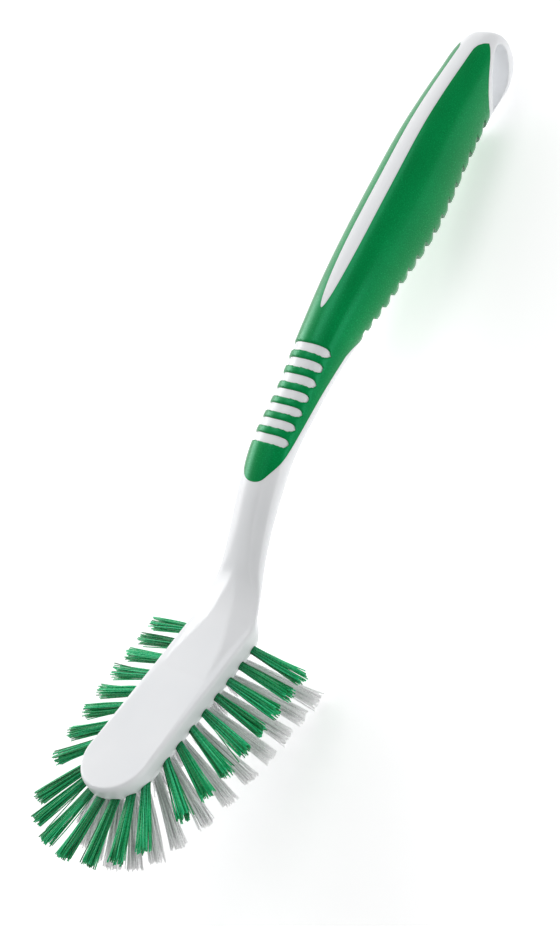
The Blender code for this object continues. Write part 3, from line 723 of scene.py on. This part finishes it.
def bristle_end(chance, x, y, length, spread):
    """Points on one leg of a bristle, from the fold up to its cut tip."""
    wander = STRAY_WANDER if chance.random() < STRAY_CHANCE else WANDER
    drift = Vector((chance.gauss(0, wander), chance.gauss(0, wander), 0))
    bow = Vector((chance.gauss(0, BOW), chance.gauss(0, BOW), 0))
    reach = length * (1 + chance.uniform(*LENGTH_RANGE))
    points = [Vector((x, y, LEG_FOOT)), Vector((x, y, LEG_MOUTH))]
    for share in LEG_SHARES:
        wide = 1 + (spread - 1) * share**SPREAD_POWER
        offset = Vector((x * wide, y * wide, 0)) + drift * share**WANDER_POWER
        offset += bow * math.sin(math.pi * share)
        points.append(offset + Vector((0, 0, reach * share)))
    return points


def folded_bristle(chance, number, length, spread):
    """Points from one cut tip of a bristle down round its fold and up to the other."""
    # Both legs keep the same place along the anchor, on its two sides.
    far = BUNDLE_RADIUS * math.sqrt((number + 0.5) / PAIRS)
    turn = math.pi * ((number * GOLDEN_TURN) % 1)
    x = far * math.cos(turn)
    y = max(far * math.sin(turn), ANCHOR_HALF_THICKNESS * ANCHOR_SIDE_SHARE)
    legs = [bristle_end(chance, x, side * y, length, spread) for side in (1, -1)]
    turns = np.linspace(0, math.pi, FOLD_STEPS + 1)[1:-1]
    fold = [Vector((x, y * math.cos(t), LEG_FOOT - FOLD_DROP * math.sin(t))) for t in turns]
    return legs[0][::-1] + fold + legs[1]


def tube(points, radius, sides):
    """Rings of vertices and the faces of a round closed tube along the points."""
    points = np.array(points)
    ways = np.gradient(points, axis=0)
    ways /= np.linalg.norm(ways, axis=1)[:, None]
    side = np.cross(ways[0], ANY_WAY)
    turns = np.arange(sides) * 2 * math.pi / sides
    cosines, sines = np.cos(turns), np.sin(turns)
    rings = []
    for point, way in zip(points, ways):
        side = side - way * side.dot(way)
        side /= np.linalg.norm(side)
        other = np.cross(way, side)
        rings.append(point + radius * (np.outer(cosines, side) + np.outer(sines, other)))
    faces = []
    last = (len(points) - 1) * sides
    for start in range(0, last, sides):
        for i in range(sides):
            j = (i + 1) % sides
            faces.append((start + i, start + j, start + sides + j, start + sides + i))
    faces.append(tuple(range(sides))[::-1])
    faces.append(tuple(range(last, last + sides)))
    return np.concatenate(rings), faces


def anchor_box():
    """Corners and faces of a flat wire anchor."""
    low = LEG_FOOT - ANCHOR_DROP
    points = []
    for z in (low, low + ANCHOR_HEIGHT):
        for a, b in ((-1, -1), (1, -1), (1, 1), (-1, 1)):
            points.append((ANCHOR_HALF_WIDTH * a, ANCHOR_HALF_THICKNESS * b, z))
    faces = [(3, 2, 1, 0), (4, 5, 6, 7)]
    faces += [(i, (i + 1) % 4, 4 + (i + 1) % 4, 4 + i) for i in range(4)]
    return np.array(points), faces


def tuft(name, root, axis, along, length, number, materials):
    """Folded bristles side by side in their hole, with the flat anchor across the fold."""
    chance = random.Random(FIRST_SEED + number)
    spread = OUTER_SPREAD if name.startswith("outer") else INNER_SPREAD
    forms, tints, ups = [], [], []
    for i in range(PAIRS):
        path = folded_bristle(chance, i, length, spread)
        forms.append((*tube(path, BRISTLE_RADIUS, BRISTLE_SIDES), BRISTLE_SLOT))
        tint = (chance.random(), chance.random())
        for k, point in enumerate(path):
            tints += [tint[k > len(path) // 2]] * BRISTLE_SIDES
            # up: the height along the tuft, which sets how much painted shade falls at the root
            ups += [min(1, max(0, point.z / length))] * BRISTLE_SIDES
    anchor, sides = anchor_box()
    forms.append((anchor, sides, ANCHOR_SLOT))
    tints += [0.5] * len(anchor)
    ups += [0.0] * len(anchor)

    faces, slots = [], []
    start = 0
    for points, around, slot in forms:
        faces += [tuple(v + start for v in face) for face in around]
        slots += [slot] * len(around)
        start += len(points)
    mesh = bpy.data.meshes.new(name + "_bristles")
    mesh.from_pydata(np.concatenate([points for points, _, _ in forms]).tolist(), [], faces)
    mesh.transform(REST @ tuft_frame(root, axis, along))
    mesh.attributes.new("tint", "FLOAT", "POINT").data.foreach_set("value", tints)
    mesh.attributes.new("up", "FLOAT", "POINT").data.foreach_set("value", ups)
    for material in materials:
        mesh.materials.append(material)
    mesh.polygons.foreach_set("material_index", slots)
    mesh.polygons.foreach_set("use_smooth", [slot == BRISTLE_SLOT for slot in slots])
    kept_inside(mesh, FLOOR_ROOM)  # the tips that lie on the floor bend along it
    obj = bpy.data.objects.new(name + "_bristles", mesh)
    bpy.context.scene.collection.objects.link(obj)
    return obj


# Materials


def new_material(name):
    material = bpy.data.materials.new(name)
    material.use_nodes = True
    tree = material.node_tree
    return material, tree, tree.nodes["Principled BSDF"]


def fill(made, inputs):
    for key, value in inputs.items():
        made.inputs[key].default_value = value


def node(tree, kind, inputs=None, **settings):
    made = tree.nodes.new(kind)
    for key, value in settings.items():
        setattr(made, key, value)
    fill(made, inputs or {})
    return made


def object_coords(tree):
    return node(tree, "ShaderNodeTexCoord").outputs["Object"]


def ramp(tree, source, stops):
    """A colour that runs through the stops, each a place and a colour."""
    made = node(tree, "ShaderNodeValToRGB")
    elements = made.color_ramp.elements
    while len(elements) < len(stops):
        elements.new(0.5)
    for element, (place, color) in zip(elements, stops):
        element.position = place
        element.color = (*color, 1)
    tree.links.new(source, made.inputs["Fac"])
    return made.outputs["Color"]


def noise(tree, coords, scale, detail, roughness=0.5):
    inputs = {"Scale": scale, "Detail": detail, "Roughness": roughness}
    made = node(tree, "ShaderNodeTexNoise", inputs)
    tree.links.new(coords, made.inputs["Vector"])
    return made.outputs["Fac"]


def multiplied(tree, first, second):
    """One colour darkened or lightened by another."""
    settings = dict(data_type="RGBA", blend_type="MULTIPLY")
    made = node(tree, "ShaderNodeMix", {"Factor": 1.0}, **settings)
    tree.links.new(first, made.inputs["A"])
    tree.links.new(second, made.inputs["B"])
    return made.outputs["Result"]


def bumps(tree, shader, layers):
    """Bump nodes in a row, each with its own source, strength and depth."""
    last = None
    for source, strength, distance in layers:
        bump = node(tree, "ShaderNodeBump", {"Strength": strength, "Distance": distance})
        tree.links.new(source, bump.inputs["Height"])
        if last:
            tree.links.new(last.outputs["Normal"], bump.inputs["Normal"])
        last = bump
    tree.links.new(last.outputs["Normal"], shader.inputs["Normal"])


def gloss(tree, shader, source, low, high):
    """Roughness that runs from low to high with the source."""
    made = node(tree, "ShaderNodeMapRange", {"To Min": low, "To Max": high})
    tree.links.new(source, made.inputs["Value"])
    tree.links.new(made.outputs["Result"], shader.inputs["Roughness"])


def white_plastic():
    """Glossy moulded plastic that lets a little light in."""
    material, tree, shader = new_material("white_plastic")
    coords = object_coords(tree)
    broad = noise(tree, coords, scale=45, detail=2)
    fine = noise(tree, coords, scale=900, detail=4)
    grain = noise(tree, coords, scale=4200, detail=2)
    color = ramp(tree, broad, [(0.3, (0.83, 0.845, 0.865)), (0.7, (0.87, 0.88, 0.895))])
    tree.links.new(color, shader.inputs["Base Color"])
    gloss(tree, shader, fine, low=0.26, high=0.38)
    inputs = {
        "Subsurface Weight": 0.18,
        "Subsurface Radius": (1.0, 1.0, 1.0),
        "Subsurface Scale": 1.6 * MM,
        "IOR": 1.49,
    }
    fill(shader, inputs)
    layers = [(broad, 0.10, 0.6 * MM), (fine, 0.10, 0.04 * MM), (grain, 0.05, 0.02 * MM)]
    bumps(tree, shader, layers)
    return material


def soft_green():
    """Soft-touch rubber with a fine eroded texture."""
    material, tree, shader = new_material("soft_grip")
    coords = object_coords(tree)
    broad = noise(tree, coords, scale=60, detail=3)
    voronoi = node(tree, "ShaderNodeTexVoronoi", {"Scale": 2600.0})
    tree.links.new(coords, voronoi.inputs["Vector"])
    cells = voronoi.outputs["Distance"]
    speckle = noise(tree, coords, scale=3400, detail=3, roughness=0.6)
    base = ramp(tree, broad, [(0.3, (0.0, 0.222, 0.050)), (0.7, (0.0, 0.262, 0.062))])
    dots = ramp(tree, speckle, [(0.35, (0.8, 0.8, 0.8)), (0.7, (1.2, 1.2, 1.2))])
    tree.links.new(multiplied(tree, base, dots), shader.inputs["Base Color"])
    gloss(tree, shader, speckle, low=0.2, high=0.32)
    fill(shader, {"IOR": 1.5, "Specular Tint": (0.15, 1.0, 0.6, 1.0)})
    layers = [(broad, 0.10, 0.5 * MM), (cells, 0.12, 0.05 * MM), (speckle, 0.18, 0.05 * MM)]
    bumps(tree, shader, layers)
    return material


def nylon(name, tones, root, transmission, scatter):
    """Drawn nylon with a fine grain: each bristle has a tone of its own, and painted shade darkens
    it towards the root.
    """
    material, tree, shader = new_material(name)
    tint = node(tree, "ShaderNodeAttribute", attribute_name="tint").outputs["Fac"]
    up = node(tree, "ShaderNodeAttribute", attribute_name="up").outputs["Fac"]
    grain = noise(tree, object_coords(tree), scale=1500, detail=3)
    tone = ramp(tree, tint, list(zip((0.0, 0.45, 1.0), tones)))
    # painted shade: the bristles are darker towards the root, where the head and the crowded
    # bundle shade them
    shade = ramp(tree, up, [(0.0, (root,) * 3), (0.4, (0.97,) * 3), (1.0, (1.0,) * 3)])
    tree.links.new(multiplied(tree, tone, shade), shader.inputs["Base Color"])
    gloss(tree, shader, grain, low=0.2, high=0.36)
    inputs = {
        "IOR": 1.45,
        "Transmission Weight": transmission,
        "Subsurface Weight": scatter,
        "Subsurface Radius": (1.0, 1.0, 1.0),
        "Subsurface Scale": 0.6 * MM,
    }
    fill(shader, inputs)
    bumps(tree, shader, [(grain, 0.2, 0.02 * MM)])
    return material


def green_nylon():
    tones = ((0.0, 0.14, 0.035), (0.0, 0.46, 0.14), (0.04, 0.78, 0.34))
    # root: how dark the painted shade makes the bristles at their root
    return nylon("green_bristle", tones, root=0.55, transmission=0.1, scatter=0.0)


def clear_nylon():
    tones = ((0.93, 0.94, 0.95), (0.98, 0.98, 0.99), (1.0, 1.0, 1.0))
    # root: how dark the painted shade makes the bristles at their root
    return nylon("clear_bristle", tones, root=0.96, transmission=0.04, scatter=0.9)


def anchor_metal():
    material, tree, shader = new_material("anchor_wire")
    lines = noise(tree, object_coords(tree), scale=2500, detail=3)
    color = ramp(tree, lines, [(0.3, (0.55, 0.54, 0.50)), (0.7, (0.72, 0.71, 0.68))])
    tree.links.new(color, shader.inputs["Base Color"])
    gloss(tree, shader, lines, low=0.28, high=0.45)
    fill(shader, {"Metallic": 1.0})
    return material


# Floor, lights and camera


def pale_table():
    material, tree, shader = new_material("pale_floor")
    cloudy = noise(tree, object_coords(tree), scale=6, detail=2)
    color = ramp(tree, cloudy, [(0.3, (0.93, 0.93, 0.935)), (0.7, (0.945, 0.945, 0.95))])
    tree.links.new(color, shader.inputs["Base Color"])
    inputs = {
        "Roughness": 0.85,
        "Emission Color": (1, 1, 1, 1),
        "Emission Strength": FLOOR_GLOW,
    }
    fill(shader, inputs)
    return material


def studio():
    bm = bmesh.new()
    bmesh.ops.create_grid(
        bm, x_segments=FLOOR_CELLS, y_segments=FLOOR_CELLS, size=FLOOR_HALF_SIZE
    )
    floor = to_object("floor", bm)
    floor.data.materials.append(pale_table())

    world = bpy.data.worlds.new("studio")
    bpy.context.scene.world = world
    world.use_nodes = True
    background = world.node_tree.nodes["Background"]
    fill(background, {"Color": (1, 1, 1, 1), "Strength": WORLD_LIGHT})

    for name, place, size, power in LIGHTS:
        light = bpy.data.lights.new(name, "AREA")
        light.shape = "RECTANGLE"
        light.size, light.size_y = size
        light.energy = power
        obj = bpy.data.objects.new(name, light)
        obj.location = place
        obj.rotation_euler = (LIGHT_AIM - obj.location).to_track_quat("-Z", "Y").to_euler()
        bpy.context.scene.collection.objects.link(obj)


def camera():
    data = bpy.data.cameras.new("camera")
    data.lens = CAMERA_LENS
    data.sensor_width = CAMERA_SENSOR
    data.clip_start = CAMERA_CLIP
    obj = bpy.data.objects.new("camera", data)
    obj.location = CAMERA_PLACE
    obj.rotation_euler = [math.radians(turn) for turn in CAMERA_TURN]
    bpy.context.scene.collection.objects.link(obj)
    bpy.context.scene.camera = obj


# The whole brush


def discard(objects):
    for obj in objects:
        bpy.data.objects.remove(obj, do_unlink=True)


def soft_grip():
    """The grip's skin: its slots are cut before its edges are rounded, so that these are too."""
    grip = blank("grip_skin", GRIP_START_X, WINDOW_END_X)
    slots = slot_cutter("slots", 0.0)
    boolean(grip, slots, "DIFFERENCE")
    softened(baked(grip), GRIP_VOXEL, GRIP_ROUNDS)
    bore = blank("bore", SPINE_X, WINDOW_END_X, SHELL)
    space = grip_space("space", 0.0)
    cutters = [bore, window_cutter("window", 0.0), groove_cutter("grooves")]
    boolean(grip, space, "INTERSECT")
    for cutter in cutters:
        boolean(grip, cutter, "DIFFERENCE")
    finished(baked(grip))
    discard((slots, space, *cutters))
    return grip


def moulding(tufts):
    """The white moulding, with a pocket for the grip and a hole for each tuft."""
    pocket = grip_space("pocket", SEAM_GAP)
    lands = [
        blank("spine", SPINE_X, WINDOW_END_X, SHELL + SEAM_GAP),
        window_cutter("window_land", -SEAM_GAP),
        slot_cutter("slot_lands", -SEAM_GAP),
    ]
    for land in lands:
        boolean(pocket, land, "DIFFERENCE")
    recess = slot_cutter("recess", 0.0)
    floor = blank("recess_floor", SPINE_X, WINDOW_END_X, SLOT_RECESS)
    boolean(recess, floor, "DIFFERENCE")
    loop = side_prism("loop_cutter", curve_through(LOOP_POINTS, LOOP_STEPS, True))
    holes = hole_cutter(tufts)
    body = moulding_blank()
    boolean(body, loop, "DIFFERENCE")
    softened(baked(body), BODY_VOXEL, BODY_ROUNDS)
    for cutter in (holes, pocket, recess):
        boolean(body, cutter, "DIFFERENCE")
    finished(baked(body))
    discard((pocket, *lands, recess, floor, loop, holes))
    return body


def dress(piece, material):
    piece.data.materials.clear()
    piece.data.materials.append(material)


def stands_for(piece, node_name):
    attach(piece, "root")
    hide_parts(node_name)


def main():
    bpy.context.scene.view_settings.view_transform = "Standard"
    camera()
    studio()
    white, green = white_plastic(), soft_green()
    nylons = {"green_bristle": green_nylon(), "clear_bristle": clear_nylon()}
    metal = anchor_metal()
    tufts = all_tufts()
    grip = soft_grip()
    body = moulding(tufts)
    dress(grip, green)
    dress(body, white)
    stands_for(grip, "grip")
    stands_for(body, "handle_core")
    for number, (name, root, axis, along, length) in enumerate(tufts):
        slot = "green_bristle" if name.startswith("outer") else "clear_bristle"
        piece = tuft(name, root, axis, along, length, number, (nylons[slot], metal))
        stands_for(piece, name)


main()
